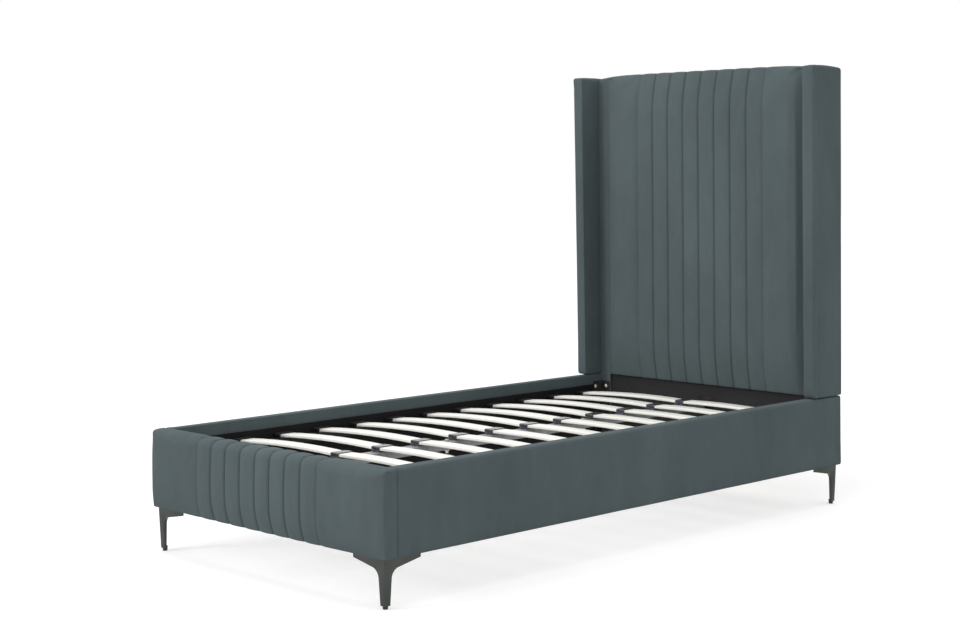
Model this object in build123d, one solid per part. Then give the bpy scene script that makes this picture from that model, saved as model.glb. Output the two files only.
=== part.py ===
from build123d import *
from functools import partial
import math
import os

# Upholstered single bed with a winged, channelled headboard. Millimetres.
# X runs across the bed, Y from the foot end to the headboard, Z up.
# The origin lies on the floor, in the middle of the whole bed.

# Mattress space
mattress_width = 990.0
mattress_length = 1905.0
mattress_side_gap = 10.0
mattress_end_gap = 38.0

# Overall build
leg_height = 135.0
rail_height = 241.0
side_thickness = 40.0
headboard_depth = 76.0
headboard_top = 1512.0
overrun = 5.0
seat_gap = 0.3

# Upholstery
wrap = 2.0
lining = 1.2
lip = 36.0
soft_edge = 7.0
inner_edge = 3.0
seam_depth = 4.0
seam_top_share = 0.6
channel_count = 8
channel_pitch = 72.3
channel_cuts = 4
shoulder_width = 30.0
shoulder_cuts = 2

# Headboard frame and pad
post_width = 46.0
panel_setback = 12.0
panel_thickness = 6.0
frame_rail_height = 60.0
pad_crown = 30.0
pad_bottom_above_rail = 235.0
pad_bottom_run = 250.0
pad_top_run = 200.0
pad_bottom_recess = 34.0
pad_top_recess = 35.0
pad_top_radius = 9.0
pad_top_thickness = 8.0
pad_side_fall = 45.0
pad_side_shares = (0.0, 0.4, 0.75, 0.92, 1.0)
pad_side_rise_shares = (1.0, 0.95, 0.72, 0.42, 0.03)
pad_border_lean = 1.0
middle_rail_share = 0.48

# Wings
wing_depth = 165.0
wing_gap = 4.0
wing_board_thickness = 18.0
wing_board_front_pad = 12.0
wing_board_top_pad = 12.0
wing_edge = 8.0
wing_top_radius = 10.0
wing_bottom_radius = 14.0

# Footboard
footboard_thickness = 49.0
foot_crown = 18.0
foot_crown_power_share = 2.5
foot_top_radius = 27.0
foot_bottom_radius = 8.0
foot_belly = 4.0
foot_end_radius = 10.0
foot_end_top_share = 0.7
foot_end_bottom_share = 0.3
foot_board_thickness = 22.0
foot_board_top_pad = 6.0
foot_panel_cuts = 2
foot_corner_cuts = 3

# Side rails
rail_board_thickness = 25.0
rail_board_top_pad = 4.0

# Corner brackets
bracket_leg = 45.0
bracket_height = 190.0
bracket_plate = 3.0
bracket_top_above_rail = 214.0

# Slats and their holders
slat_rows = 12
slat_first_from_footboard = 99.5
slat_last_from_headboard = 113.5
slat_width = 53.0
slat_thickness = 9.0
slat_side_end_from_rail = 15.0
slat_inner_end = 6.0
slat_side_end_above_rail = 172.2
slat_inner_end_above_rail = 183.1
slat_camber = 7.5
holder_clearance = 0.3
holder_wall = 3.2
holder_edge = 2.5
side_holder_depth = 35.8
centre_holder_half = 18.0
centre_holder_floor = 4.8

# Ledger angles on the side rails
angle_width = 31.0
angle_height = 30.0
angle_plate = 2.5
angle_end_gap = 6.0

# Centre beam and its saddles
beam_width = 40.0
beam_height = 25.0
beam_wall = 1.5
beam_corner = 3.0
saddle_plate = 2.0
saddle_width = 70.0
saddle_height = 56.0
saddle_length = 32.0
saddle_cheek = 18.0

# Centre support legs
leg_rows = (3, 7)
leg_gap_shares = (0.676, 0.637)
bolt_radius = 4.0
hole_clearance = 0.3
leg_nut_height = 6.5
leg_nut_radius = 7.5
leg_thread_shown = 12.0
leg_bolt_head_height = 5.3
leg_bolt_reach = 34.0
tube_radius = 16.0
tube_wall = 1.5
plug_depth = 30.0
foot_radius = 18.0
foot_height = 22.0
foot_floor = 6.0

# Corner legs
leg_inset = 13.0
leg_lean = 4.5
leg_wall = 4.0
leg_arm = 130.0
leg_tip = 11.0
leg_shoulder_drop = 30.5
leg_shoulder_width = 28.0
leg_toe_width = 19.0
leg_fillet = 29.0
leg_corner_edge = 2.5
leg_plate = 3.0
leg_plate_reach = 124.0
leg_plate_edge = 30.0
leg_hub = 6.0
glide_height = 9.0
glide_top_radius = 8.0
glide_foot_radius = 7.0
glide_peg = 6.0
glide_peg_length = 5.0

# Places worked out from the sizes above
inner_half = mattress_width / 2 + mattress_side_gap
outer_half = inner_half + side_thickness
recess_length = mattress_length + mattress_end_gap + pad_crown
overall_length = foot_crown + footboard_thickness + recess_length + headboard_depth
back_y = overall_length / 2
border_y = back_y - headboard_depth
foot_inner_y = border_y - recess_length
foot_corner_y = foot_inner_y - footboard_thickness
rail_bottom = leg_height
rail_top = leg_height + rail_height
board_bottom = rail_bottom + wrap
pad_bottom = rail_bottom + pad_bottom_above_rail
bracket_top = rail_bottom + bracket_top_above_rail
slat_side_end_z = rail_bottom + slat_side_end_above_rail
slat_inner_end_z = rail_bottom + slat_inner_end_above_rail
lining_top = rail_top - lip
lining_face_x = inner_half + wrap - lining
wing_bottom = rail_top + wing_gap
wing_front_y = back_y - wing_depth
post_inner = inner_half - post_width
frame_back_y = back_y - lining
panel_y = border_y + panel_setback
frame_top = headboard_top - pad_top_thickness
holder_height = slat_thickness + 2 * holder_wall
ledger_top = slat_side_end_z - holder_wall
beam_top = slat_inner_end_z - holder_clearance - centre_holder_floor
beam_bottom = beam_top - beam_height
diagonal = Plane((0, 0, 0), z_dir=(1, -1, 0))


def block(x0, x1, y0, y1, z0, z1):
    """A box between two corners."""
    return Solid.make_box(x1 - x0, y1 - y0, z1 - z0, Plane((x0, y0, z0)))


def rod(x, y, z, direction, radius, length):
    """A round bar from a point along a direction."""
    return Solid.make_cylinder(radius, length, Plane((x, y, z), z_dir=direction))


def mirrored(shape):
    """The same piece on the other side of the bed."""
    return shape.mirror(Plane.YZ)


def save(name, shapes):
    """Writes one piece, or a group of like pieces, as one file."""
    group = shapes if isinstance(shapes, list) else [shapes]
    solids = [solid for shape in group for solid in shape.solids()]
    export_step(solids[0] if len(solids) == 1 else Compound(children=solids), f"parts/{name}.step")


def save_pair(name, right):
    """Writes a piece of the right-hand side and its mirror image on the left."""
    save(f"{name}_right", right)
    save(f"{name}_left", mirrored(right))


def both_sides(shapes):
    """A list of right-hand pieces with their mirror images."""
    return shapes + [mirrored(shape) for shape in shapes]


def lofted(sections):
    """A solid through closed section wires, straight from each to the next."""
    return Solid.make_loft(sections, ruled=True)


def fused(pieces):
    """One solid from pieces that share faces."""
    return pieces[0].fuse(*pieces[1:]).clean()


# Padded shapes


def tangent_arc_middle(y_flat, z_flat, y_end, z_end):
    """The middle of an arc that leaves the upright line y_flat at z_flat and ends at a point."""
    drop = y_end - y_flat
    rise = abs(z_end - z_flat)
    radius = (drop * drop + rise * rise) / (2 * drop)
    half_turn = math.asin(rise / radius) / 2
    towards = 1 if z_end > z_flat else -1
    return y_flat + radius * (1 - math.cos(half_turn)), z_flat + towards * radius * math.sin(half_turn)


def quarter_middle(start, end, corner):
    """The middle of a quarter round between two points that a corner joins."""
    share = 1 - math.sqrt(0.5)
    return tuple(c + share * (s - c + e - c) for s, e, c in zip(start, end, corner))


def section_wire(x, edges):
    """A closed wire in the plane at x, from lines (two points) and arcs (three points) given as (y, z)."""
    made = []
    for points in edges:
        places = [Vector(x, y, z) for y, z in points]
        made.append(Edge.make_line(*places) if len(places) == 2 else Edge.make_three_point_arc(*places))
    return Wire(made)


def pad_section(x, inset, rise):
    """The headboard pad cut across at x. rise is its share of the full crown, inset the depth of a seam."""
    y_front = border_y - pad_crown * rise + inset + (1 - rise) * pad_border_lean
    y_low = y_front + pad_bottom_recess * rise + pad_border_lean * (1 - rise)
    y_high = y_front + pad_top_recess * rise + pad_border_lean * (1 - rise)
    top = headboard_top - inset * seam_top_share
    z_low = pad_bottom + pad_bottom_run
    z_high = headboard_top - pad_top_run
    z_brow = top - pad_top_radius
    low = (y_low, pad_bottom)
    belly = (y_front, z_low)
    chest = (y_front, z_high)
    brow = (y_high, z_brow)
    crest = (y_high + pad_top_radius, top)
    return section_wire(x, [
        [(back_y, pad_bottom), low],
        [low, tangent_arc_middle(*belly, *low), belly],
        [belly, chest],
        [chest, tangent_arc_middle(*chest, *brow), brow],
        [brow, quarter_middle(brow, crest, (y_high, top)), crest],
        [crest, (back_y, top)],
        [(back_y, top), (back_y, pad_bottom)],
    ])


def seam_dip(share):
    """How deep the cover lies at a share of the way from a seam to where it is full."""
    return seam_depth * (1 - share) ** 2


def channel_blocks(section):
    """Sewn channels side by side, each crowned between its two seams."""
    first = -channel_count / 2 * channel_pitch
    blocks = []
    for i in range(channel_count):
        cuts = []
        for k in range(channel_cuts + 1):
            share = k / channel_cuts
            dip = seam_dip(2 * min(share, 1 - share))
            cuts.append(section(first + (i + share) * channel_pitch, dip))
        blocks.append(lofted(cuts))
    return blocks


def seam_shoulder(section):
    """The cover beyond the last seam, up to where it has swelled to its full depth."""
    seam = channel_count / 2 * channel_pitch
    shares = [k / shoulder_cuts for k in range(shoulder_cuts + 1)]
    return lofted([section(seam + share * shoulder_width, seam_dip(share)) for share in shares])


def headboard_pad():
    """Foam and velvet over the front of the headboard, crowned, with sewn channels in the middle."""
    swelled = channel_count / 2 * channel_pitch + shoulder_width
    fall_start = post_inner - pad_side_fall
    panel = lofted([pad_section(swelled, 0, 1), pad_section(fall_start, 0, 1)])
    places = [fall_start + share * pad_side_fall for share in pad_side_shares]
    fall = lofted([pad_section(x, 0, rise) for x, rise in zip(places, pad_side_rise_shares)])
    border = lofted([pad_section(x, 0, pad_side_rise_shares[-1]) for x in (post_inner, inner_half)])
    crowned = partial(pad_section, rise=1)
    right = [seam_shoulder(crowned), panel, fall, border]
    pad = fused(channel_blocks(crowned) + both_sides(right))
    reach = overrun + back_y
    panel_space = block(-post_inner, post_inner, panel_y, reach, pad_bottom - overrun, frame_top)
    x1, low = inner_half + overrun, pad_bottom - overrun
    post_space = block(post_inner, x1, border_y + wrap, reach, low, frame_top)
    return pad.cut(panel_space, post_space, mirrored(post_space))


def foot_section(x, inset, end=0):
    """The footboard cover cut across at x. inset is the depth of a seam, end the rounding at its ends."""
    crown = foot_crown * (1 - (abs(x) / outer_half) ** foot_crown_power_share)
    y_front = foot_corner_y - crown + inset + end
    top = rail_top - inset * seam_top_share - end * foot_end_top_share
    bottom = rail_bottom + end * foot_end_bottom_share
    y_skin = y_front + foot_belly
    z_brow = top - foot_top_radius
    z_toe = bottom + foot_bottom_radius
    toe = (y_skin + foot_bottom_radius, bottom)
    shin = (y_skin, z_toe)
    brow = (y_skin, z_brow)
    crest = (y_skin + foot_top_radius, top)
    inner_crest = (foot_inner_y - inner_edge, top)
    inner_brow = (foot_inner_y, top - inner_edge)
    heel = (foot_inner_y, bottom)
    return section_wire(x, [
        [heel, toe],
        [toe, quarter_middle(toe, shin, (y_skin, bottom)), shin],
        [shin, (y_front, (z_toe + z_brow) / 2), brow],
        [brow, quarter_middle(brow, crest, (y_skin, top)), crest],
        [crest, inner_crest],
        [inner_crest, quarter_middle(inner_crest, inner_brow, (foot_inner_y, top)), inner_brow],
        [inner_brow, heel],
    ])


def footboard_space():
    """The footboard's board, which is also the room inside its cover."""
    half = outer_half - foot_end_radius
    back = foot_inner_y - wrap
    top = rail_top - foot_board_top_pad
    return block(-half, half, back - foot_board_thickness, back, board_bottom, top)


def footboard_cover():
    """Padded velvet over the footboard, with the same channels as the headboard, closed at both ends."""
    swelled = channel_count / 2 * channel_pitch + shoulder_width
    bend = outer_half - foot_end_radius
    step = (bend - swelled) / foot_panel_cuts
    panel = [foot_section(swelled + k * step, 0) for k in range(foot_panel_cuts + 1)]
    corner = []
    for k in range(foot_corner_cuts + 1):
        turn = math.pi / 2 * k / foot_corner_cuts
        end = foot_end_radius * (1 - math.cos(turn))
        corner.append(foot_section(bend + foot_end_radius * math.sin(turn), 0, end))
    right = [seam_shoulder(foot_section), lofted(panel), lofted(corner)]
    cover = fused(channel_blocks(foot_section) + both_sides(right))
    y0, y1 = foot_inner_y - wrap, foot_inner_y + overrun
    window = block(-inner_half, inner_half, y0, y1, board_bottom, lining_top)
    return cover.cut(footboard_space(), window)


def footboard_lining():
    """Black lining on the inner face of the footboard, below the velvet return."""
    face = foot_inner_y - wrap
    return block(-inner_half, inner_half, face, face + lining, board_bottom, lining_top)


def rail_space():
    """A side rail's board, which is also the room inside its cover."""
    x0 = inner_half + wrap
    y0, y1 = foot_inner_y + wrap, back_y - wrap
    return block(x0, x0 + rail_board_thickness, y0, y1, board_bottom, rail_top - rail_board_top_pad)


def side_rail_cover():
    """Padded velvet on the outside of a side rail, turned over the top and a little way down inside."""
    body = block(inner_half, outer_half, foot_inner_y, back_y, rail_bottom, rail_top)
    outer = body.faces().sort_by(Axis.X)[-1].edges()
    soft = [edge for edge in outer if edge.center().Y > foot_inner_y + seat_gap]
    body = body.fillet(soft_edge, soft)
    inner_top = body.edges().filter_by(Axis.Y).sort_by_distance(Vector(inner_half, 0, rail_top))[0]
    body = body.fillet(inner_edge, [inner_top])
    window = block(inner_half - overrun, inner_half + wrap, foot_inner_y + wrap, back_y - wrap,
                   board_bottom, lining_top)
    return body.cut(rail_space(), window)


def side_rail_lining():
    """Black lining on the inner face of a side rail, below the velvet return."""
    y0, y1 = foot_inner_y + wrap, back_y - wrap
    return block(lining_face_x, inner_half + wrap, y0, y1, board_bottom, lining_top)


# Corner brackets


def corner_frames():
    """The right-hand inner corners: (y of the end face, direction from there into the bed)."""
    return (foot_inner_y, 1), (border_y, -1)


def corner_bracket(end):
    """Pressed steel corner bracket: one leg on the rail, the other on the footboard or the post."""
    y_end, inward = end
    y0, y1 = sorted((y_end, y_end + inward * bracket_leg))
    z0 = bracket_top - bracket_height
    plate = bracket_plate
    on_rail = block(inner_half - plate, inner_half, y0, y1, z0, bracket_top)
    ya, yb = sorted((y_end, y_end + inward * plate))
    on_end = block(inner_half - bracket_leg, inner_half, ya, yb, z0, bracket_top)
    return fused([on_rail, on_end])


# Boards and frame


def headboard_post():
    """Headboard post, from the leg plate to the top."""
    return block(post_inner, inner_half, border_y + wrap, frame_back_y, rail_bottom, frame_top)


def post_cover():
    """Velvet on the front of a post, below the pad."""
    return block(post_inner, inner_half, border_y, border_y + wrap, board_bottom, pad_bottom)


def headboard_rail(z_middle):
    """Cross rail between the two posts, behind the panel."""
    half = frame_rail_height / 2
    y0 = panel_y + panel_thickness
    return block(-post_inner, post_inner, y0, frame_back_y, z_middle - half, z_middle + half)


def headboard_panel():
    """Thin plywood over the front of the frame, which carries the foam."""
    return block(-post_inner, post_inner, panel_y, panel_y + panel_thickness, board_bottom, frame_top)


def lower_lining():
    """Dark lining on the panel below the pad."""
    return block(-post_inner, post_inner, panel_y - lining, panel_y, board_bottom, pad_bottom)


# Wings


def wing_board(bottom):
    """A wing's board, and with a lower bottom the room that it takes inside its sleeve."""
    x0 = inner_half + (side_thickness - wing_board_thickness) / 2
    y0, y1 = wing_front_y + wing_board_front_pad, back_y - wrap
    return block(x0, x0 + wing_board_thickness, y0, y1, bottom, headboard_top - wing_board_top_pad)


def wing_cover():
    """Padded velvet sleeve over a wing board, open along the bottom where it is stapled."""
    body = block(inner_half, outer_half, wing_front_y, back_y, wing_bottom, headboard_top)
    across = body.edges().filter_by(Axis.X).sort_by(Axis.Z)
    body = body.fillet(wing_bottom_radius, across[:2])
    across = body.edges().filter_by(Axis.X).sort_by(Axis.Z)
    body = body.fillet(wing_top_radius, across[-2:])
    sides = body.faces().filter_by(Axis.X)
    body = body.fillet(wing_edge, [edge for side in sides for edge in side.edges()])
    return body.cut(wing_board(wing_bottom - overrun))


# Slat platform


def slat_ys():
    """The middle of each slat row, evenly spread between the first and the last."""
    first = foot_inner_y + slat_first_from_footboard
    last = border_y - slat_last_from_headboard
    return [first + i * (last - first) / (slat_rows - 1) for i in range(slat_rows)]


def slat_shape(y, grow):
    """A bowed half slat of the right-hand side, or with grow its pocket in a holder."""
    x_in, x_out = slat_inner_end, inner_half - slat_side_end_from_rail
    x_mid = (x_in + x_out) / 2
    z_mid = (slat_inner_end_z + slat_side_end_z) / 2 + slat_camber
    low, high = -grow, slat_thickness + grow
    ends = ((x_in, slat_inner_end_z), (x_mid, z_mid), (x_out, slat_side_end_z))
    bottom = [Vector(x, 0, z + low) for x, z in ends]
    top = [Vector(x, 0, z + high) for x, z in ends]
    outline = Wire([
        Edge.make_three_point_arc(*bottom),
        Edge.make_line(bottom[2], top[2]),
        Edge.make_three_point_arc(top[2], top[1], top[0]),
        Edge.make_line(top[0], bottom[0]),
    ])
    width = slat_width + 2 * grow
    return extrude(Face(outline), amount=width, dir=(0, 1, 0)).solid().translate((0, y - width / 2, 0))


def holder_body(x0, x1, y, z0, z1):
    """A moulded block with eased top edges."""
    half = slat_width / 2 + holder_wall
    body = block(x0, x1, y - half, y + half, z0, z1)
    top_edges = body.edges().filter_by(Axis.X).sort_by(Axis.Z)[-2:]
    return body.chamfer(holder_edge, None, top_edges)


def side_holder(y):
    """End holder on the ledger angle, open towards the middle."""
    x0 = lining_face_x - side_holder_depth
    body = holder_body(x0, lining_face_x, y, ledger_top, ledger_top + holder_height)
    return body.cut(slat_shape(y, holder_clearance))


def centre_holder(y):
    """Double holder on the centre beam, with a pocket for the slat on each side."""
    top = slat_inner_end_z + slat_thickness + holder_wall
    body = holder_body(-centre_holder_half, centre_holder_half, y, beam_top, top)
    pocket = slat_shape(y, holder_clearance)
    return body.cut(pocket, mirrored(pocket))


def ledger_span():
    """Where a ledger angle starts and ends, clear of the corner brackets."""
    return foot_inner_y + bracket_leg + angle_end_gap, border_y - bracket_leg - angle_end_gap


def ledger_angle():
    """Steel angle on the inner face of a rail, which carries the slat holders."""
    y0, y1 = ledger_span()
    shelf = block(lining_face_x - angle_width, lining_face_x, y0, y1, ledger_top - angle_plate, ledger_top)
    low = ledger_top - angle_height
    upright = block(lining_face_x - angle_plate, lining_face_x, y0, y1, low, ledger_top)
    return fused([shelf, upright])


# Centre beam and support legs


def beam_ends():
    """The two faces that the beam runs between: (y of the face, direction into the bed)."""
    return (foot_inner_y - wrap + lining, 1), (panel_y - lining, -1)


def centre_leg_ys():
    """Where the two support legs stand along the beam, each between two rows of slats."""
    rows = slat_ys()
    pitch = rows[1] - rows[0]
    return [rows[row] + share * pitch for row, share in zip(leg_rows, leg_gap_shares)]


def centre_beam():
    """Rectangular steel tube with holes for the leg bolts."""
    (front, _), (rear, _) = beam_ends()
    y0, y1 = front + saddle_plate + seat_gap, rear - saddle_plate - seat_gap
    half, wall = beam_width / 2, beam_wall
    tube = block(-half, half, y0, y1, beam_bottom, beam_top)
    tube = tube.fillet(beam_corner, tube.edges().filter_by(Axis.Y))
    bore = block(wall - half, half - wall, y0 - overrun, y1 + overrun, beam_bottom + wall, beam_top - wall)
    radius, low = bolt_radius + hole_clearance, beam_bottom - overrun
    holes = [rod(0, y, low, (0, 0, 1), radius, beam_height + 2 * overrun) for y in centre_leg_ys()]
    return tube.cut(bore, *holes)


def beam_bracket(face, inward):
    """Saddle for one end of the beam: a plate with a shelf under the tube and a cheek on each side."""
    half = saddle_width / 2
    z_mid = beam_bottom + beam_height / 2
    ya, yb = sorted((face, face + inward * saddle_plate))
    plate = block(-half, half, ya, yb, z_mid - saddle_height / 2, z_mid + saddle_height / 2)
    yc, yd = sorted((face, face + inward * saddle_length))
    x_in = beam_width / 2 + seat_gap
    x_out = x_in + saddle_plate
    trough = block(-x_out, x_out, yc, yd, beam_bottom - saddle_plate, beam_bottom + saddle_cheek)
    room = block(-x_in, x_in, yc - overrun, yd + overrun, beam_bottom, beam_bottom + saddle_cheek + overrun)
    return fused([plate, trough.cut(room)])


def leg_top():
    """The top face of a support leg, below its nut and the thread that shows."""
    return beam_bottom - leg_nut_height - leg_thread_shown


def leg_bolt(y):
    """Bolt with a hexagon head on the beam, down into the support leg."""
    hexagon = Pos(0, y, beam_top) * RegularPolygon(leg_nut_radius, 6)
    head = extrude(hexagon, amount=leg_bolt_head_height).solid()
    shank = rod(0, y, beam_top, (0, 0, -1), bolt_radius, beam_top - leg_top() + leg_bolt_reach)
    return fused([head, shank])


def leg_nut(y):
    """Nut that clamps the bolt under the beam."""
    under = beam_bottom - leg_nut_height
    nut = extrude(Pos(0, y, under) * RegularPolygon(leg_nut_radius, 6), amount=leg_nut_height).solid()
    return nut.cut(rod(0, y, under - overrun, (0, 0, 1), bolt_radius, leg_nut_height + 2 * overrun))


def leg_plug(y):
    """Threaded plug in the top of the tube. It runs down on the bolt to lengthen the leg."""
    plug = rod(0, y, leg_top(), (0, 0, -1), tube_radius - tube_wall, plug_depth)
    start, length = leg_top() + overrun, plug_depth + 2 * overrun
    return plug.cut(rod(0, y, start, (0, 0, -1), bolt_radius + hole_clearance, length))


def leg_tube(y):
    """Round steel tube of a support leg."""
    tube = rod(0, y, foot_floor, (0, 0, 1), tube_radius, leg_top() - foot_floor)
    return tube.cut(rod(0, y, foot_floor - overrun, (0, 0, 1), tube_radius - tube_wall, leg_top() + overrun))


def leg_foot(y):
    """Plastic cup on the bottom of the tube."""
    cup = rod(0, y, 0, (0, 0, 1), foot_radius, foot_height)
    return cup.cut(rod(0, y, foot_floor, (0, 0, 1), tube_radius, foot_height))


# Corner legs, modelled at the right-hand front corner and mirrored to the others


def leg_outline():
    """One flange seen square on, as (distance from the corner, height): a flared arm, a tapering stem."""
    toe_z = glide_height
    corners = [
        (0, leg_height),
        (leg_arm, leg_height),
        (leg_arm, leg_height - leg_tip),
        (leg_shoulder_width, leg_height - leg_shoulder_drop),
        (leg_lean + leg_toe_width, toe_z),
        (leg_lean, toe_z),
    ]
    return corners


def leg_prism(along_x):
    """The flange's outline pushed through the thickness of the flange."""
    depth = leg_wall + leg_lean + leg_wall / 2
    flat = make_face(Polyline(*leg_outline(), close=True))
    shoulder = flat.vertices().sort_by_distance((leg_shoulder_width, leg_height - leg_shoulder_drop))[0]
    flat = fillet(shoulder, leg_fillet)
    tip = flat.vertices().sort_by_distance((leg_arm, leg_height - leg_tip))[0]
    flat = fillet(tip, leg_corner_edge)
    upright = Plane(origin=(0, 0, 0), x_dir=(1, 0, 0), z_dir=(0, -1, 0))
    prism = extrude(upright * flat, amount=-depth).solid()
    return prism if along_x else prism.mirror(diagonal)


def leaning_corner(inset):
    """The corner of the leg as a solid quarter space whose two faces lean inwards towards the floor."""
    reach, toe_z = 2 * leg_arm, glide_height
    outline = [(inset, leg_height), (reach, leg_height), (reach, toe_z), (inset + leg_lean, toe_z)]
    upright = Plane(origin=(0, 0, 0), x_dir=(0, 1, 0), z_dir=(1, 0, 0))
    wedge = extrude(upright * make_face(Polyline(*outline, close=True)), amount=reach).solid()
    return wedge.intersect(wedge.mirror(diagonal)).solid()


def corner_leg_shape():
    """Cast leg with two leaning flanges, a top plate and a hub for the glide."""
    shell = leaning_corner(0).cut(leaning_corner(leg_wall))
    shell = shell.intersect(leg_prism(True).fuse(leg_prism(False))).solid()
    upright = [e for e in shell.edges() if e.center().X < leg_lean and e.center().Y < leg_lean]
    shell = shell.fillet(leg_corner_edge, [max(upright, key=lambda e: e.length)])
    reach, plate = leg_plate_reach, leg_plate
    inset, edge = leg_wall / 2, leg_plate_edge
    corners = [(inset, inset), (reach, inset), (reach, edge), (edge, reach), (inset, reach)]
    flat = Pos(0, 0, leg_height - plate) * make_face(Polyline(*corners, close=True))
    web = extrude(flat, amount=plate).solid()
    hub_in, hub_out = leg_lean + leg_wall / 2, leg_lean + leg_toe_width / 2 + glide_top_radius
    hub = block(hub_in, hub_out, hub_in, hub_out, glide_height, glide_height + leg_hub)
    free_edge = hub.edges().filter_by(Axis.Z).sort_by_distance((hub_out, hub_out, glide_height))[0]
    hub = hub.fillet(glide_top_radius, [free_edge])
    return fused([shell, web, hub]).cut(glide_peg_shape(glide_height - overrun))


def glide_peg_shape(bottom):
    """The square peg of a glide, also the hole for it in the leg's hub."""
    x0 = leg_lean + (leg_toe_width - glide_peg) / 2
    x1 = x0 + glide_peg
    return block(x0, x1, x0, x1, bottom, glide_height + glide_peg_length)


def glide_shape():
    """Plastic glide with a peg that presses into the leg's hub."""
    centre = leg_lean + leg_toe_width / 2
    cup = Solid.make_cone(glide_foot_radius, glide_top_radius, glide_height, Plane((centre, centre, 0)))
    return fused([cup, glide_peg_shape(glide_height)])


def to_front_right(shape):
    """From the leg's own corner to the right-hand front corner of the bed, arms running inwards."""
    return shape.mirror(Plane.YZ).translate((outer_half - leg_inset, foot_corner_y + leg_inset, 0))


def to_rear_right(shape):
    """From the leg's own corner to the right-hand rear corner of the bed."""
    turned = shape.mirror(Plane.YZ).mirror(Plane.XZ)
    return turned.translate((outer_half - leg_inset, back_y - leg_inset, 0))


os.makedirs("parts", exist_ok=True)

# Headboard
save_pair("headboard_post", headboard_post())
save("headboard_top_rail", headboard_rail(frame_top - frame_rail_height / 2))
save("headboard_middle_rail", headboard_rail(rail_top + (headboard_top - rail_top) * middle_rail_share))
save("headboard_beam_rail", headboard_rail(beam_bottom + beam_height / 2))
save("headboard_bottom_rail", headboard_rail(board_bottom + frame_rail_height / 2))
save("headboard_panel", headboard_panel())
save("headboard_pad", headboard_pad())
save("headboard_back_lining", block(-inner_half, inner_half, frame_back_y, back_y, board_bottom, frame_top))
save("headboard_lower_lining", lower_lining())
save("headboard_post_covers", both_sides([post_cover()]))

# Wings
save_pair("wing_board", wing_board(wing_bottom + wrap))
save_pair("wing_cover", wing_cover())

# Footboard and side rails
save("footboard_board", footboard_space())
save("footboard_cover", footboard_cover())
save("footboard_lining", footboard_lining())
save_pair("side_rail_board", rail_space())
save_pair("side_rail_cover", side_rail_cover())
save_pair("side_rail_lining", side_rail_lining())

# Corner brackets
front_bracket, rear_bracket = [corner_bracket(end) for end in corner_frames()]
save_pair("corner_bracket_front", front_bracket)
save_pair("corner_bracket_rear", rear_bracket)

# Slat platform
save_pair("ledger_angle", ledger_angle())
save_pair("side_slat_holders", Compound(children=[side_holder(y) for y in slat_ys()]))
save("centre_slat_holders", [centre_holder(y) for y in slat_ys()])
save_pair("slats", Compound(children=[slat_shape(y, 0) for y in slat_ys()]))

# Centre beam and support legs
save("centre_beam", centre_beam())
for name, (face, inward) in zip(("front", "rear"), beam_ends()):
    save(f"beam_bracket_{name}", beam_bracket(face, inward))
save("centre_leg_bolts", [leg_bolt(y) for y in centre_leg_ys()])
save("centre_leg_nuts", [leg_nut(y) for y in centre_leg_ys()])
for name, y in zip(("front", "rear"), centre_leg_ys()):
    save(f"centre_leg_tube_{name}", leg_tube(y))
    save(f"centre_leg_plug_{name}", leg_plug(y))
    save(f"centre_leg_foot_{name}", leg_foot(y))

# Corner legs
leg = corner_leg_shape()
save_pair("corner_leg_front", to_front_right(leg))
save_pair("corner_leg_rear", to_rear_right(leg))
glide = glide_shape()
save("leg_glides", both_sides([to_front_right(glide), to_rear_right(glide)]))
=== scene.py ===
import math

import bmesh
import bpy
from mathutils import Matrix, Vector, noise


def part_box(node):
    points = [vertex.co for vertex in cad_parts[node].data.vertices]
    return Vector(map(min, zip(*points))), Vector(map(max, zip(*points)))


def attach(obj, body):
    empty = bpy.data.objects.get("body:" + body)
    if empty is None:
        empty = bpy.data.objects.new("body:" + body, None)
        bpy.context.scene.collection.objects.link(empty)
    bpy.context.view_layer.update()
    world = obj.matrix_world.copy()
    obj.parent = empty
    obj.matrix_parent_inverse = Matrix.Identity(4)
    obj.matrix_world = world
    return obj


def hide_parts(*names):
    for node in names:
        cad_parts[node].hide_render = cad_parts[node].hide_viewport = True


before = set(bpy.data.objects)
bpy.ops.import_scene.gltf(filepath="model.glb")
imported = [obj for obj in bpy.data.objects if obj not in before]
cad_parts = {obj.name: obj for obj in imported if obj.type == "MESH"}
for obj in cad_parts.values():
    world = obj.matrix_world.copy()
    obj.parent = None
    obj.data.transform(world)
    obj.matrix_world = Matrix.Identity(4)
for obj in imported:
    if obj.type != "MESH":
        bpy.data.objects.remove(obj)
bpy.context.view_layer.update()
scene = bpy.context.scene
mm = 0.001


# Headboard frame. Two upright posts that run down to the leg plates, with a top rail, a middle rail, a rail
# behind the centre beam and a bottom rail between them. Planed pine, glued and screwed, with sanded edges.
def feed(tree, socket, value):
    """Links a shader socket to another node's output, or sets it."""
    if isinstance(value, bpy.types.NodeSocket):
        tree.links.new(value, socket)
    else:
        socket.default_value = value


def finish_group(name, inputs):
    """A shader group for a finish, with its given inputs, its results and the place on the bed."""
    tree = bpy.data.node_groups.new(name, "ShaderNodeTree")
    for label, value in inputs.items():
        kind = "Float" if isinstance(value, float) else "Color" if len(value) == 4 else "Vector"
        tree.interface.new_socket(label, in_out="INPUT", socket_type="NodeSocket" + kind).default_value = value
    for label, kind in (("Colour", "Color"), ("Roughness", "Float"), ("Normal", "Vector")):
        tree.interface.new_socket(label, in_out="OUTPUT", socket_type="NodeSocket" + kind)
    given, result = tree.nodes.new("NodeGroupInput").outputs, tree.nodes.new("NodeGroupOutput").inputs
    return tree, given, result, tree.nodes.new("ShaderNodeTexCoord").outputs["Object"]


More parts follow.
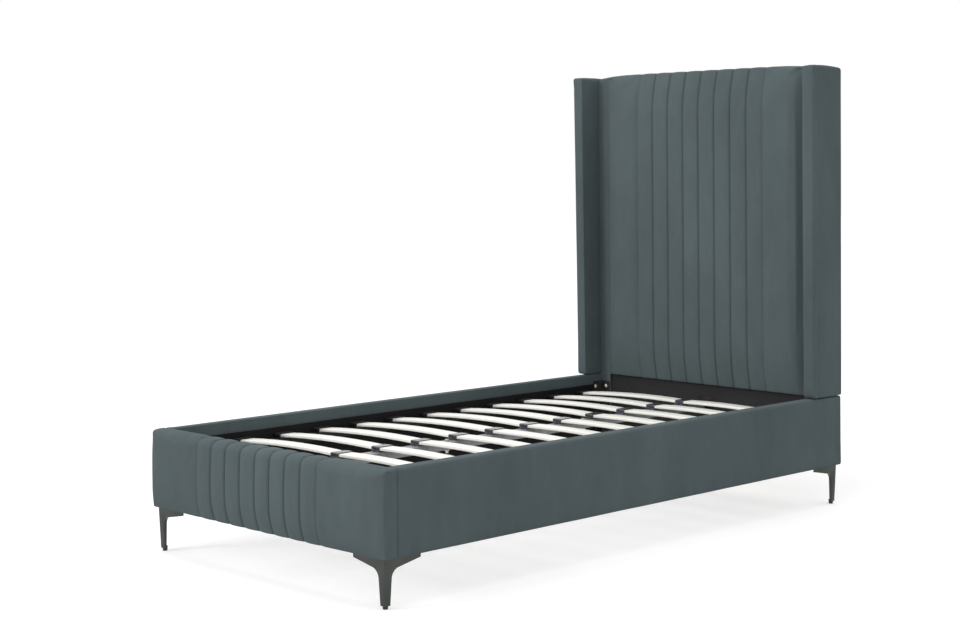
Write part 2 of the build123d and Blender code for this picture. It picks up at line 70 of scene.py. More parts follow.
def scaled(tree, place, factors):
    """A place with each direction multiplied by its own factor."""
    node = tree.nodes.new("ShaderNodeVectorMath")
    node.operation = "MULTIPLY"
    feed(tree, node.inputs[0], place)
    feed(tree, node.inputs[1], factors)
    return node.outputs[0]


def noise_at(tree, place, scale, detail, roughness=0.5, distortion=0.0):
    """How strong a cloudy noise is at a place, from 0 to 1."""
    node = tree.nodes.new("ShaderNodeTexNoise")
    values = {"Vector": place, "Scale": scale, "Detail": detail, "Roughness": roughness, "Distortion": distortion}
    for name, value in values.items():
        feed(tree, node.inputs[name], value)
    return node.outputs["Fac"]


def ranged(tree, value, low, high, to_low, to_high):
    """A value moved from one range into another, clamped."""
    node = tree.nodes.new("ShaderNodeMapRange")
    for name, number in (("Value", value), ("From Min", low), ("From Max", high), ("To Min", to_low),
                         ("To Max", to_high)):
        feed(tree, node.inputs[name], number)
    return node.outputs["Result"]


def combined(tree, operation, first, *others):
    """Values put together one after another by the same operation."""
    for other in others:
        node = tree.nodes.new("ShaderNodeMath")
        node.operation = operation
        feed(tree, node.inputs[0], first)
        feed(tree, node.inputs[1], other)
        first = node.outputs[0]
    return first


def mixed(tree, factor, low, high):
    """A colour between two others by a factor from another node."""
    node = tree.nodes.new("ShaderNodeMix")
    node.data_type = "RGBA"
    for socket, value in ((0, factor), (6, low), (7, high)):
        feed(tree, node.inputs[socket], value)
    return node.outputs[2]


def relief(tree, height, distance, strength):
    """The normal of a surface that a height stands up from."""
    node = tree.nodes.new("ShaderNodeBump")
    for name, value in (("Height", height), ("Distance", distance), ("Strength", strength)):
        feed(tree, node.inputs[name], value)
    return node.outputs[0]


def put_out(tree, result, colour, roughness, normal):
    """Hands a finish's colour, roughness and normal to its group's outputs."""
    for name, value in (("Colour", colour), ("Roughness", roughness), ("Normal", normal)):
        tree.links.new(value, result[name])


def material(name, group, given=(), **principled):
    """A Principled material fed by a finish's group. What is the same all over is set on the shader itself."""
    made = bpy.data.materials.new(name)
    made.use_nodes = True
    tree = made.node_tree
    shader = tree.nodes["Principled BSDF"]
    for label, value in principled.items():
        shader.inputs[label.replace("_", " ")].default_value = value
    node = tree.nodes.new("ShaderNodeGroup")
    node.node_tree = group
    for label, value in dict(given).items():
        node.inputs[label].default_value = value
    for output, socket in (("Colour", "Base Color"), ("Roughness", "Roughness"), ("Normal", "Normal")):
        tree.links.new(node.outputs[output], shader.inputs[socket])
    return made


def finished(names, finish, edge=0.5 * mm, steps=2):
    """Hard pieces that keep the CAD's form get their finish and the small rounding that real edges have."""
    for name in names:
        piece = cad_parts[name]
        piece.data.materials.clear()
        piece.data.materials.append(finish)
        weld = piece.modifiers.new("Weld", "WELD")
        weld.merge_threshold = 0.01 * mm
        bevel = piece.modifiers.new("Rounded edges", "BEVEL")
        bevel.width, bevel.segments = edge, steps
        bevel.limit_method = "ANGLE"
        bevel.angle_limit = math.radians(35)
        bevel.harden_normals = True
        for polygon in piece.data.polygons:
            polygon.use_smooth = True


# Growth rings stretched along the board, with pores. Stretch gives the direction of the grain.
wood, given, result, place = finish_group("Wood grain", {
    "Early": (0.62, 0.45, 0.27, 1), "Late": (0.42, 0.26, 0.13, 1), "Stretch": (3.0, 60.0, 60.0),
    "Contrast": 1.0, "Gloss": 0.6})
along = scaled(wood, place, given["Stretch"])
rings = noise_at(wood, along, 1.0, 3.0, distortion=1.2)
pores = noise_at(wood, along, 9.0, 2.0, 0.8)
streak = combined(wood, "MULTIPLY", ranged(wood, rings, 0.35, 0.65, 0.0, 1.0), given["Contrast"])
put_out(wood, result, mixed(wood, streak, given["Early"], given["Late"]),
        combined(wood, "ADD", given["Gloss"], ranged(wood, pores, 0.3, 0.7, -0.06, 0.1)),
        relief(wood, pores, 0.0003, 0.25))
upright_pine = material("Upright pine", wood, {"Stretch": (60.0, 60.0, 3.0)})
cross_pine = material("Cross pine", wood)
finished(["headboard_post_left", "headboard_post_right"], upright_pine)
finished([f"headboard_{height}_rail" for height in ("top", "middle", "beam", "bottom")], cross_pine)


# Headboard panel. A sheet of plywood nailed on the front of the frame. It carries the pad above and the lining
# below it.
plywood = material("Plywood", wood, {
    "Early": (0.58, 0.43, 0.28, 1), "Late": (0.47, 0.33, 0.20, 1), "Stretch": (18.0, 18.0, 2.0)})
finished(["headboard_panel"], plywood)


# Headboard pad. One deep foam pad in velvet, crowned towards the sleeper, that turns in under its bottom edge and
# rolls over the top. The velvet is sewn through in nine upright seams and drawn back along both sides.
pile, given, result, place = finish_group("Velvet pile", {
    "Deep": (0.068, 0.087, 0.091, 1), "Pale": (0.095, 0.121, 0.127, 1), "Hand": 3.5, "Pile": 900.0,
    "Depth": 0.00025})
stroke = scaled(pile, place, (1.0, 1.0, 0.45))
swept = noise_at(pile, stroke, given["Hand"], 3.0, 0.6, 0.4)
brushed = noise_at(pile, stroke, 28.0, 3.0, 0.7)
fibres = noise_at(pile, place, given["Pile"], 2.0, 0.65)
ribs = noise_at(pile, scaled(pile, place, (260.0, 260.0, 9.0)), 1.0, 1.0)
lay = combined(pile, "ADD", ranged(pile, swept, 0.3, 0.7, 0.2, 0.8), ranged(pile, ribs, 0.3, 0.7, -0.05, 0.05),
               ranged(pile, fibres, 0.0, 1.0, -0.12, 0.12), ranged(pile, brushed, 0.35, 0.65, -0.1, 0.1))
put_out(pile, result, mixed(pile, lay, given["Deep"], given["Pale"]), ranged(pile, lay, 0.0, 1.0, 0.95, 0.82),
        relief(pile, combined(pile, "ADD", fibres, ribs), given["Depth"], 0.6))
velvet = material("Velvet", pile, Sheen_Weight=0.06, Sheen_Roughness=0.45, Sheen_Tint=(0.62, 0.72, 0.76, 1),
                  Specular_IOR_Level=0.06)


def new_piece(name, points, faces, finish):
    """A smooth mesh object with one material."""
    mesh = bpy.data.meshes.new(name)
    mesh.from_pydata(points, [], faces)
    mesh.validate()
    mesh.materials.append(finish)
    made = bpy.data.objects.new(name, mesh)
    scene.collection.objects.link(made)
    for polygon in mesh.polygons:
        polygon.use_smooth = True
    return made


def arc(centre, radius, start, end, steps):
    """Points on an arc in a plane, angles in degrees, both ends included."""
    turns = [math.radians(start + (end - start) * k / steps) for k in range(steps + 1)]
    return [(centre[0] + radius * math.cos(t), centre[1] + radius * math.sin(t)) for t in turns]


def run(start, end, steps):
    """Points on a straight line in a plane, its two ends left out."""
    return [tuple(a + (b - a) * k / steps for a, b in zip(start, end)) for k in range(1, steps)]


def cover(name, loops, finish, end_shares=(0.86, 0.6, 0.3)):
    """A closed cover through loops of points, with each end closed by shrinking rings."""
    def shrunk(loop, share):
        middle = sum((Vector(p) for p in loop), Vector()) / len(loop)
        return [middle + (Vector(p) - middle) * share for p in loop]

    rings = [shrunk(loops[0], s) for s in reversed(end_shares)] + list(loops)
    rings += [shrunk(loops[-1], s) for s in end_shares]
    size = len(loops[0])
    points = [tuple(p) for ring in rings for p in ring]
    faces = []
    for k in range(len(rings) - 1):
        low, high = k * size, (k + 1) * size
        faces += [(low + i, low + (i + 1) % size, high + (i + 1) % size, high + i) for i in range(size)]
    for start in (0, (len(rings) - 1) * size):
        centre = len(points)
        points.append(tuple(sum((Vector(p) for p in points[start:start + size]), Vector()) / size))
        faces += [(start + i, start + (i + 1) % size, centre) for i in range(size)]
    made = new_piece(name, points, faces, finish)
    shape = bmesh.new()
    shape.from_mesh(made.data)
    bmesh.ops.recalc_face_normals(shape, faces=shape.faces)
    shape.to_mesh(made.data)
    shape.free()
    return made


def stuffed(piece, held, cap, pressure=4.0):
    """Swells a cover like stuffed cloth. held(point) says where it is sewn, stapled or pressed on a board."""
    rest = [v.co.copy() for v in piece.data.vertices]
    piece.vertex_groups.new(name="held").add([v.index for v in piece.data.vertices if held(v.co)], 1.0, "REPLACE")
    cloth = piece.modifiers.new("Cloth", "CLOTH")
    settings = cloth.settings
    settings.quality = 5
    settings.mass = 0.3
    settings.tension_stiffness = settings.compression_stiffness = 15
    settings.shear_stiffness = 5
    settings.bending_stiffness = 0.5
    settings.use_pressure = True
    settings.uniform_pressure_force = pressure
    settings.effector_weights.gravity = 0
    settings.vertex_group_mass = "held"
    cloth.collision_settings.use_collision = False
    for step in range(1, 21):
        scene.frame_set(step)
    swollen = piece.evaluated_get(bpy.context.evaluated_depsgraph_get())
    moved = []
    for start, vertex in zip(rest, swollen.to_mesh().vertices):
        shift = vertex.co - start
        moved.append(start + shift * min(1.0, cap / shift.length) if shift.length > 0 else start)
    swollen.to_mesh_clear()
    piece.modifiers.remove(cloth)
    piece.vertex_groups.clear()
    for vertex, point in zip(piece.data.vertices, moved):
        vertex.co = point
    scene.frame_set(1)


def smoothed(piece):
    """Applies one level of subdivision surface."""
    modifier = piece.modifiers.new("Subdivision", "SUBSURF")
    modifier.levels = modifier.render_levels = 1
    made = bpy.data.meshes.new_from_object(piece.evaluated_get(bpy.context.evaluated_depsgraph_get()))
    piece.modifiers.remove(modifier)
    old = piece.data
    piece.data = made
    bpy.data.meshes.remove(old)
    for polygon in made.polygons:
        polygon.use_smooth = True


def pressed(piece, change):
    """Moves every point of a piece by change(point)."""
    for vertex in piece.data.vertices:
        vertex.co += Vector(change(vertex.co.copy()))


def ripple(point, scale, height, seed):
    """A smooth uneven offset for slack in stretched cloth."""
    return height * noise.noise(Vector(point) * scale + Vector((seed, seed, seed)))


def clamped(share):
    """A share kept between 0 and 1."""
    return min(1.0, max(0.0, share))


def declared(piece, node):
    """A padded velvet piece that rides on the frame and stands for a CAD node, or for a part of one."""
    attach(piece, "bed_frame")
    if node:
        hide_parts(node)


pad_low, pad_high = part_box("headboard_pad")
panel_low, panel_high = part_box("headboard_panel")
post_low, post_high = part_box("headboard_post_right")
seam_pitch, seam_depth, seam_reach = 72.3 * mm, 4 * mm, 30 * mm
seams = [(k - 4) * seam_pitch for k in range(9)]
furrow_depth, furrow_width, furrow_side, outer_furrow = 4.2 * mm, 3.3 * mm, 2.2 * mm, 0.38
plain_step = 11 * mm


def channel_dip(x):
    """How deep the cover lies at x, from the seams' depth to nothing in the middle of a channel."""
    nearest = min(abs(x - s) for s in seams)
    reach = seam_pitch / 2 if abs(x) < seams[-1] else seam_reach
    return seam_depth * max(0.0, 1 - nearest / reach) ** 2


def seam_columns(limit):
    """Places across the bed, close together at the seams, out to a limit."""
    half = [0.0, furrow_side]
    for seam in seams[4:]:
        if seam > 0:
            half += [seam - furrow_side, seam, seam + furrow_side]
        if seam < seams[-1]:
            half += [seam + share * seam_pitch for share in (0.11, 0.22, 0.36, 0.5, 0.64, 0.78, 0.89)]
    x = half[-1]
    steps = max(1, round((limit - x) / plain_step))
    half += [x + (limit - x) * k / steps for k in range(1, steps + 1)]
    return sorted({-x for x in half} | set(half))


def furrow(x):
    """The tight furrow that the thread pulls at a seam, shallow at the two outermost."""
    seam = min(seams, key=lambda s: abs(x - s))
    pull = outer_furrow if abs(seam) > seams[-2] + mm else 1.0
    return pull * furrow_depth * math.exp(-(abs(x - seam) / furrow_width) ** 2)


def on_seam(point):
    """True close to one of the sewn seams."""
    return min(abs(point.x - s) for s in seams) < 3 * mm


pad_crown = 30 * mm
border_y = pad_low.y + pad_crown
belly_z, chest_z = pad_low.z + 170 * mm, pad_high.z - 150 * mm
underside_lift, underside_tilt, toe_depth = 6 * mm, 2.5 * mm, 19 * mm
roll_middle, roll_side, roll_full_to, roll_fade = 23 * mm, 12 * mm, 290 * mm, 150 * mm
dome, brow_round, back_round, back_drop = 11 * mm, 9 * mm, 4 * mm, 21 * mm
bevel_start, bevel_end, bevel_soft = post_low.x - 32 * mm, post_low.x, 0.3


def bowed_back(y_flat, z_flat, y_end, z_end, steps):
    """Points of an arc that leaves an upright line at (y_flat, z_flat) and ends at (y_end, z_end)."""
    drop, rise = y_end - y_flat, abs(z_end - z_flat)
    radius = (drop * drop + rise * rise) / (2 * drop)
    turn = math.asin(rise / radius)
    sign = 1 if z_end > z_flat else -1
    turns = [turn * k / steps for k in range(steps + 1)]
    return [(y_flat + radius * (1 - math.cos(t)), z_flat + sign * radius * math.sin(t)) for t in turns]


def crown_share(x):
    """The share of the crown at x: full, then down a bevel that starts softly, to the border on the posts."""
    share = clamped((abs(x) - bevel_start) / (bevel_end - bevel_start))
    fall = share ** 2 / (2 * bevel_soft) if share < bevel_soft else share - bevel_soft / 2
    return max(0.03, 1 - fall / (1 - bevel_soft / 2))


def pad_loop(x):
    """The pad cut across at x: under its bottom edge, up the front, over the top and down inside the frame."""
    crown, dip = crown_share(x), channel_dip(x)
    floor_z = pad_low.z + underside_lift - underside_tilt * x / post_low.x
    y_front = border_y - pad_crown * crown + dip
    outwards = clamped((abs(x) - roll_full_to) / roll_fade)
    roll = roll_middle - (roll_middle - roll_side) * outwards ** 2 * (3 - 2 * outwards)
    y_toe, y_brow = y_front + toe_depth * crown, y_front + roll * crown
    top = pad_high.z + dome * max(0.0, 1 - (x / post_high.x) ** 6) - 0.4 * dip
    back, hidden = pad_high.y + 0.6 * mm, panel_low.y + 3 * mm
    z_brow, z_back = top - brow_round, top - back_drop
    path = run((hidden, floor_z), (y_toe, floor_z), 5) + [(y_toe, floor_z)]
    path += list(reversed(bowed_back(y_front, belly_z, y_toe, floor_z, 22)))[1:]
    path += run((y_front, belly_z), (y_front, chest_z), 58)
    path += bowed_back(y_front, chest_z, y_brow, z_brow, 18)
    path += arc((y_brow + brow_round, z_brow), brow_round, 180, 90, 5)[1:]
    path += run((y_brow + brow_round, top), (back - back_round, top), 9)
    path += arc((back - back_round, top - back_round), back_round, 90, 0, 3)
    path += [(back, top - 12 * mm), (back, z_back + mm), (back - 5 * mm, z_back)]
    path += run((back - 5 * mm, z_back), (hidden, z_back), 4) + [(hidden, z_back)]
    path += run((hidden, z_back), (hidden, floor_z), 14) + [(hidden, floor_z + mm)]
    return [(x, y, z) for y, z in path]


bevel_steps = (-3, 2, 5, 9, 14, 20, 27, 31, 35)
bevel_columns = [side * (bevel_start + step * mm) for side in (-1, 1) for step in bevel_steps]
pad_columns = [x for x in seam_columns(pad_high.x + 4 * mm) if min(abs(x - b) for b in bevel_columns) > 3 * mm]
pad = cover("headboard_pad_velvet", [pad_loop(x) for x in sorted(pad_columns + bevel_columns)], velvet)
stuffed(pad, lambda p: on_seam(p) or p.y > border_y + 6 * mm or abs(p.x) > bevel_end - 4 * mm
        or p.z < pad_low.z + 9 * mm, 4 * mm)
smoothed(pad)
pressed(pad, lambda p: (0, furrow(p.x) if p.y < border_y + 8 * mm else 0,
                        -0.5 * furrow(p.x) if p.z > pad_high.z + mm else 0))
pressed(pad, lambda p: (0, ripple(p, 9, 0.6 * mm, 3) if p.y < border_y else 0, 0))
declared(pad, "headboard_pad")


# Seam stitches of the headboard. Short twisted polyester threads, a shade darker than the velvet, that lie half
# sunk in the furrow of every channel seam.
thread = material("Thread", pile, {
    "Deep": (0.045, 0.058, 0.062, 1), "Pale": (0.075, 0.094, 0.1, 1), "Pile": 2500.0}, Specular_IOR_Level=0.2)

# A Geometry Nodes group that sets a small piece down at many places, each a point that says which way it faces.
setting = bpy.data.node_groups.new("Set pieces down", "GeometryNodeTree")
for label, kind in (("Places", "Geometry"), ("Unit", "Object"), ("Finish", "Material")):
    setting.interface.new_socket(label, in_out="INPUT", socket_type="NodeSocket" + kind)
setting.interface.new_socket("Pieces", in_out="OUTPUT", socket_type="NodeSocketGeometry")
inputs, outputs, unit_shown, facing_read, aimed, put, real, coat = [setting.nodes.new(kind) for kind in (
    "NodeGroupInput", "NodeGroupOutput", "GeometryNodeObjectInfo", "GeometryNodeInputNamedAttribute",
    "FunctionNodeAlignRotationToVector", "GeometryNodeInstanceOnPoints", "GeometryNodeRealizeInstances",
    "GeometryNodeSetMaterial")]
facing_read.data_type = "FLOAT_VECTOR"
facing_read.inputs["Name"].default_value = "facing"
aimed.axis = "Z"
for source, output, target, socket in (
        (inputs, "Places", put, "Points"), (inputs, "Unit", unit_shown, "Object"),
        (unit_shown, "Geometry", put, "Instance"), (facing_read, "Attribute", aimed, "Vector"),
        (aimed, "Rotation", put, "Rotation"), (put, "Instances", real, "Geometry"),
        (real, "Geometry", coat, "Geometry"), (inputs, "Finish", coat, "Material"),
        (coat, "Geometry", outputs, "Pieces")):
    setting.links.new(source.outputs[output], target.inputs[socket])
setting_keys = {item.name: item.identifier for item in setting.interface.items_tree}


def set_down(name, places, unit, finish):
    """A copy of the unit at each (place, direction) on the bed frame, as one piece."""
    mesh = bpy.data.meshes.new(name)
    mesh.from_pydata([tuple(p) for p, _ in places], [], [])
    facing = mesh.attributes.new("facing", "FLOAT_VECTOR", "POINT")
    for k, (_, way) in enumerate(places):
        facing.data[k].vector = way
    holder = bpy.data.objects.new(name, mesh)
    scene.collection.objects.link(holder)
    modifier = holder.modifiers.new("Places", "NODES")
    modifier.node_group = setting
    modifier[setting_keys["Unit"]] = unit
    modifier[setting_keys["Finish"]] = finish
    made = bpy.data.meshes.new_from_object(holder.evaluated_get(bpy.context.evaluated_depsgraph_get()))
    holder.modifiers.clear()
    holder.data = made
    for polygon in made.polygons:
        polygon.use_smooth = True
    bpy.data.objects.remove(unit)
    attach(holder, "bed_frame")


def unit_object(name, shape):
    """A small piece to be set down at many places."""
    mesh = bpy.data.meshes.new(name)
    shape.to_mesh(mesh)
    shape.free()
    made = bpy.data.objects.new(name, mesh)
    scene.collection.objects.link(made)
    return made


def turned(name, outline, sides):
    """A turned piece from its outline, as (radius, height) from its hidden end to its crown."""
    shape = bmesh.new()
    around = [2 * math.pi * k / sides for k in range(sides)]
    rings = [[shape.verts.new((radius * math.cos(t), radius * math.sin(t), height)) for t in around]
             for radius, height in outline]
    for low, high in zip(rings, rings[1:]):
        for k in range(sides):
            shape.faces.new((low[k], low[(k + 1) % sides], high[(k + 1) % sides], high[k]))
    shape.faces.new(rings[-1])
    bmesh.ops.recalc_face_normals(shape, faces=shape.faces)
    return unit_object(name, shape)


stitch_outline = [(0.12 * mm, -1.7 * mm), (0.34 * mm, -1.1 * mm), (0.4 * mm, 0), (0.34 * mm, 1.1 * mm),
                  (0.12 * mm, 1.7 * mm)]
stitch_pitch, stitch_sunk = 4.6 * mm, 2.0 * mm


def stitches(path):
    """Places along a path of points, each facing along it."""
    places, left = [], stitch_pitch / 2
    for a, b in zip(path, path[1:]):
        length = (b - a).length
        while left < length:
            places.append((a + (b - a) * (left / length), (b - a).normalized()))
            left += stitch_pitch
        left -= length
    return places


def seam_places(loop_of, front_y, shown_points, placed=lambda p: p):
    """Stitches along every seam of a padded piece, over the shown part of its loop."""
    places = []
    for seam in seams:
        path = [Vector(p) for p in loop_of(seam)][:shown_points]
        sunk = [p + Vector((0, stitch_sunk if p.y < front_y else 0, 0)) for p in path]
        places += stitches([placed(p) for p in sunk])
    return places


set_down("headboard_seam_stitches", seam_places(pad_loop, border_y + 8 * mm, 113),
         turned("stitch", stitch_outline, 6), thread)


# Strips on the posts. Velvet glued down the front of each headboard post below the pad and stapled behind it, so
# that the timber doesn't show above the slats.
strip_low, strip_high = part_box("headboard_post_covers")
strip_overlap, strip_rows, fold = 14 * mm, 24, 1 * mm
for side, word in ((1, "right"), (-1, "left")):
    edge, wall, inside = post_low.x - 0.9 * mm, post_high.x + 4 * mm, post_low.x + 0.4 * mm
    strip_outline = [(inside, panel_low.y - mm), (edge, panel_low.y - mm), (edge, strip_low.y + fold)]
    strip_outline += arc((edge + fold, strip_low.y + fold), fold, 180, 270, 2)[1:]
    strip_outline += run((edge + fold, strip_low.y), (wall, strip_low.y), 6) + [(wall, strip_low.y)]
    strip_outline += [(wall, strip_high.y + mm), (inside, strip_high.y + mm)]
    strip_length = strip_high.z + strip_overlap - strip_low.z
    loops = [[(side * x, y, strip_low.z + strip_length * k / (strip_rows - 1)) for x, y in strip_outline]
             for k in range(strip_rows)]
    strip = cover(f"post_velvet_{word}", loops, velvet)
    pressed(strip, lambda p: (0, -abs(ripple(p, 22, 0.5 * mm, 9)) if p.y < strip_high.y - mm else 0, 0))
    declared(strip, "headboard_post_covers" if side > 0 else None)


# Headboard linings. Thin non-woven cloth, spun fibres pressed together at a grid of small dots: grey on the panel
# under the pad, black over the whole back, stretched on the timber and a little slack between its staples.
felt, given, result, place = finish_group("Spunbond", {
    "Deep": (0.004, 0.004, 0.004, 1), "Pale": (0.014, 0.014, 0.014, 1), "Dots": 420.0})
dots = felt.nodes.new("ShaderNodeTexVoronoi")
for label, value in (("Vector", place), ("Scale", given["Dots"]), ("Randomness", 0.25)):
    feed(felt, dots.inputs[label], value)
hairs = noise_at(felt, place, 130.0, 6.0, 0.7)
cloud = noise_at(felt, place, 9.0, 2.0)
amount = combined(felt, "ADD", ranged(felt, hairs, 0.3, 0.7, 0.0, 0.7), ranged(felt, cloud, 0.3, 0.7, 0.0, 0.3))
height = combined(felt, "ADD", ranged(felt, dots.outputs["Distance"], 0.1, 0.35, 0.0, 1.0), hairs)
put_out(felt, result, mixed(felt, amount, given["Deep"], given["Pale"]), ranged(felt, hairs, 0.3, 0.7, 0.75, 0.95),
        relief(felt, height, 0.0003, 0.5))
black_lining = material("Black lining", felt, Specular_IOR_Level=0.2)
grey_lining = material("Grey lining", felt, {"Deep": (0.018, 0.018, 0.018, 1), "Pale": (0.036, 0.035, 0.036, 1)},
                       Specular_IOR_Level=0.2)
lining_step, lining_slack, lining_inset = 24 * mm, 0.5 * mm, 0.4 * mm


def stretched(name, corner, along, up, facing, finish):
    """A sheet from a corner along two directions, with its slack towards facing."""
    wide, high = max(2, round(along.length / lining_step)), max(2, round(up.length / lining_step))
    points = []
    for j in range(high + 1):
        for i in range(wide + 1):
            u, v = i / wide, j / high
            point = corner + along * u + up * v
            slack = lining_slack * min(1.0, min(u, 1 - u, v, 1 - v) * 4) * (0.4 + noise.noise(point * 14))
            points.append(tuple(point + facing * (slack - lining_inset)))
    faces = [(a, a + 1, a + wide + 2, a + wide + 1) for a in range(high * (wide + 1)) if a % (wide + 1) < wide]
    made = new_piece(name, points, faces, finish)
    smoothed(made)
    return made


def lining_piece(node, normal_axis, sign, finish, behind_pad=0.0, past_sides=0.0):
    """The lining on a node's outer face, square to an axis, and what goes up behind the pad or past its sides."""
    low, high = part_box(node)
    high.z += behind_pad
    low.x, high.x = low.x - past_sides, high.x + past_sides
    facing, along = Vector((0, 0, 0)), Vector((0, 0, 0))
    facing[normal_axis] = sign
    corner = low.copy()
    corner[normal_axis] = high[normal_axis] if sign > 0 else low[normal_axis]
    across = 1 - normal_axis
    along[across] = high[across] - low[across]
    up = Vector((0, 0, high.z - low.z))
    made = stretched(f"{node}_cloth", corner, along, up, facing, finish)
    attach(made, "bed_frame")
    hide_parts(node)


lining_piece("headboard_lower_lining", 1, -1, grey_lining, behind_pad=14 * mm)
lining_piece("headboard_back_lining", 1, 1, black_lining,
             past_sides=3 * mm)


# Staples of the back lining. Plated steel crowns in a row down each side, driven through the cloth into the posts.
metal, given, result, place = finish_group("Metal skin", {
    "Dark": (0.30, 0.31, 0.32, 1), "Light": (0.38, 0.39, 0.40, 1), "Mottle": 60.0, "Grain": 700.0,
    "Smooth": 0.3, "Rough": 0.5, "Relief": 0.00006})
spread = ranged(metal, noise_at(metal, place, given["Mottle"], 3.0), 0.3, 0.7, 0.0, 1.0)
shine = metal.nodes.new("ShaderNodeMix")
for socket, value in ((0, spread), (2, given["Smooth"]), (3, given["Rough"])):
    feed(metal, shine.inputs[socket], value)
put_out(metal, result, mixed(metal, spread, given["Dark"], given["Light"]), shine.outputs[0],
        relief(metal, noise_at(metal, place, given["Grain"], 2.0), given["Relief"], 0.5))
yellow_zinc = material("Yellow zinc", metal, {
    "Dark": (0.66, 0.60, 0.45, 1), "Light": (0.84, 0.80, 0.66, 1), "Mottle": 300.0, "Smooth": 0.22, "Rough": 0.4},
    Metallic=1.0)
staple_thickness, staple_crown, staple_height = 1.3 * mm, 11 * mm, 0.7 * mm
shape = bmesh.new()
bmesh.ops.create_cube(shape, size=1)
for vertex in shape.verts:
    x, y, z = vertex.co
    vertex.co = Vector((x * staple_thickness, y * staple_crown, z * staple_height))
bmesh.ops.bevel(shape, geom=shape.edges[:], offset=0.25 * mm, segments=2, affect="EDGES")
back_low, back_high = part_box("headboard_back_lining")
staples_down, from_bottom, from_top, from_side = 22, 25 * mm, 45 * mm, 12 * mm
staples = []
for k in range(staples_down):
    z = back_low.z + from_bottom + (back_high.z - back_low.z - from_bottom - from_top) * k / (staples_down - 1)
    staples += [(Vector((x, back_high.y + 0.2 * mm, z)), Vector((0, 1, 0)))
                for x in (back_low.x + from_side, back_high.x - from_side)]
set_down("back_lining_staples", staples, unit_object("staple", shape), yellow_zinc)


# Wings. A pine board in a padded velvet sleeve on each side, bolted through the posts: a cushioned front edge with
# a crisp inner corner, a tucked seam behind the outer corner, and a top that rises to its front corner.
finished(["wing_board_left", "wing_board_right"], upright_pine)
wing_low, wing_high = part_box("wing_cover_right")
rail_low, rail_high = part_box("side_rail_cover_right")
wing_bottom = rail_high.z + 1.5 * mm
wing_height, wing_depth = wing_high.z - wing_bottom, wing_high.y - wing_low.y
inner_round, back_corner, crisp = 2 * mm, 4 * mm, 0.8 * mm
front_bow, widening, left_lean = 3 * mm, 5 * mm, 9 * mm
front_places = (0.15, 0.3, 0.45, 0.6, 0.75, 0.9)
tuck_depths = ((15, 1.2), (19, 2.4), (23, 3.0), (28, 2.6), (34, 1.6), (42, 0.7), (52, 0.2))
tuck_behind, tuck_width, pucker = 22 * mm, 9 * mm, 0.7 * mm
tip_rise_from = 40 * mm


def ease(distance, radius):
    """How far a rounded corner draws a side in, at a distance from the end."""
    return radius - math.sqrt(max(0.0, radius ** 2 - max(0.0, radius - distance) ** 2))


def wing_loop(z, side):
    """A wing cut across at height z."""
    above, below = wing_high.z - z, z - wing_bottom
    inner = wing_low.x + max(ease(above, 4 * mm), ease(below, 3 * mm))
    outer = wing_high.x + 2 * mm + widening * below / wing_height - max(ease(above, 8 * mm), ease(below, 3 * mm))
    front = wing_low.y + max(ease(above, 5 * mm), ease(below, 12 * mm))
    back = wing_high.y - max(ease(above, 12 * mm), ease(below, 7 * mm))
    wide, outer_round = outer - inner, (9 if side > 0 else 4) * mm
    front_share = 1 - (outer_round + 3 * mm) / wide
    path = [(inner, back - crisp)] + run((inner, back), (inner, front + inner_round), 16)
    path += arc((inner + inner_round, front + inner_round), inner_round, 180, 270, 3)
    path += [(inner + wide * s * front_share, front + front_bow * s ** 2.5) for s in front_places]
    path += arc((outer - outer_round, front + outer_round + 2 * mm), outer_round, 282, 360, 6)
    path += [(outer - dent * mm, front + reach * mm) for reach, dent in tuck_depths]
    path += run((outer, front + tuck_depths[-1][0] * mm), (outer, back - back_corner), 10)
    path += arc((outer - back_corner, back - back_corner), back_corner, 0, 90, 3)
    path += run((outer - back_corner, back), (inner, back), 4) + [(inner + crisp, back), (inner, back)]
    return [(side * x, y, z) for x, y in path]


def wing_held(p):
    """The wing's tucked seam, its inner front corner, its back and its bottom."""
    x, behind = abs(p.x), p.y - wing_low.y
    on_tuck = 14 * mm < behind < 34 * mm and x > wing_high.x - 2 * mm
    on_corner = behind < 4 * mm and x < wing_low.x + 3 * mm
    return p.y > wing_high.y - 12 * mm or p.z < wing_bottom + 2 * mm or on_tuck or on_corner


def wing_drawn(p, side):
    """Small puckers along the tucked seam, slack in the panels, the rise of the top and the left wing's lean."""
    behind, out = p.y - wing_low.y, clamped((abs(p.x) - wing_low.x) / (36 * mm))
    near_tuck = math.exp(-((behind - tuck_behind) / tuck_width) ** 2)
    tuck = pucker * near_tuck * noise.noise(Vector((side, 0, p.z * 38)))
    back_share, height_share = behind / wing_depth, (p.z - wing_bottom) / wing_height
    tip = (0.5 + 2 * out) * (1 - back_share) + 7 * back_share * (1 - back_share) - 2 * back_share ** 2
    rise = max(0.0, (p.z - wing_high.z + tip_rise_from) / tip_rise_from) * tip * mm
    lean = (0 if side > 0 else -left_lean) * height_share * (1 - back_share)
    outwards = side if abs(p.x) > wing_low.x + 20 * mm else -side
    return lean + outwards * (ripple(p, 7, 0.5 * mm, 40 + side) + tuck), 0, rise


near_end = [0, 0.4, 1, 2, 3, 5, 8, 12]
heights = [wing_bottom + d * mm for d in near_end]
heights += [wing_bottom + 12 * mm + (wing_height - 24 * mm) * k / 120 for k in range(1, 120)]
heights += [wing_high.z - d * mm for d in reversed(near_end)]
for side, word in ((1, "right"), (-1, "left")):
    wing = cover(f"wing_velvet_{word}", [wing_loop(z, side) for z in heights], velvet, (0.92, 0.8, 0.55, 0.3))
    stuffed(wing, wing_held, 2.0 * mm)
    smoothed(wing)
    pressed(wing, lambda p: wing_drawn(p, side))
    declared(wing, f"wing_cover_{word}")


